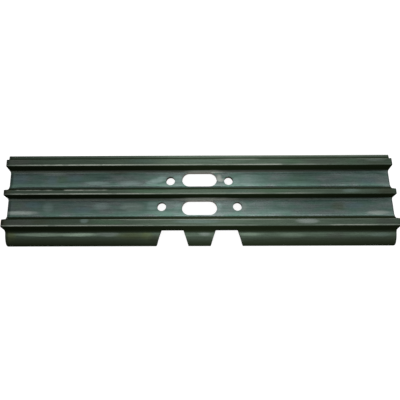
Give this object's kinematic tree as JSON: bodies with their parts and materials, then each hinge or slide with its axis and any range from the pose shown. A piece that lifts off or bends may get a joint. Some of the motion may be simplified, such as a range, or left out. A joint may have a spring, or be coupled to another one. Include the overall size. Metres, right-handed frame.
{
  "type": "excavator track shoe",
  "caption": "Long rolled steel track shoe with low parallel grousers, bolt holes, mud slots, a curled notched lip and a raised tail edge.",
  "frame": {"origin": "centre of the four-hole bolt pattern, on the flat underside that seats on the chain links", "axes": "+X along the shoe's length, +Y towards the raised tail edge, +Z towards the ground side with the grousers"},
  "size_m": [0.8165, 0.1921, 0.0464],
  "materials": {
    "dark_paint": "dark green-grey dip paint, semi-gloss, with lengthwise rolling streaks"
  },
  "bodies": {
    "root": {"track_shoe": "dark_paint"}
  },
  "joints": []
}
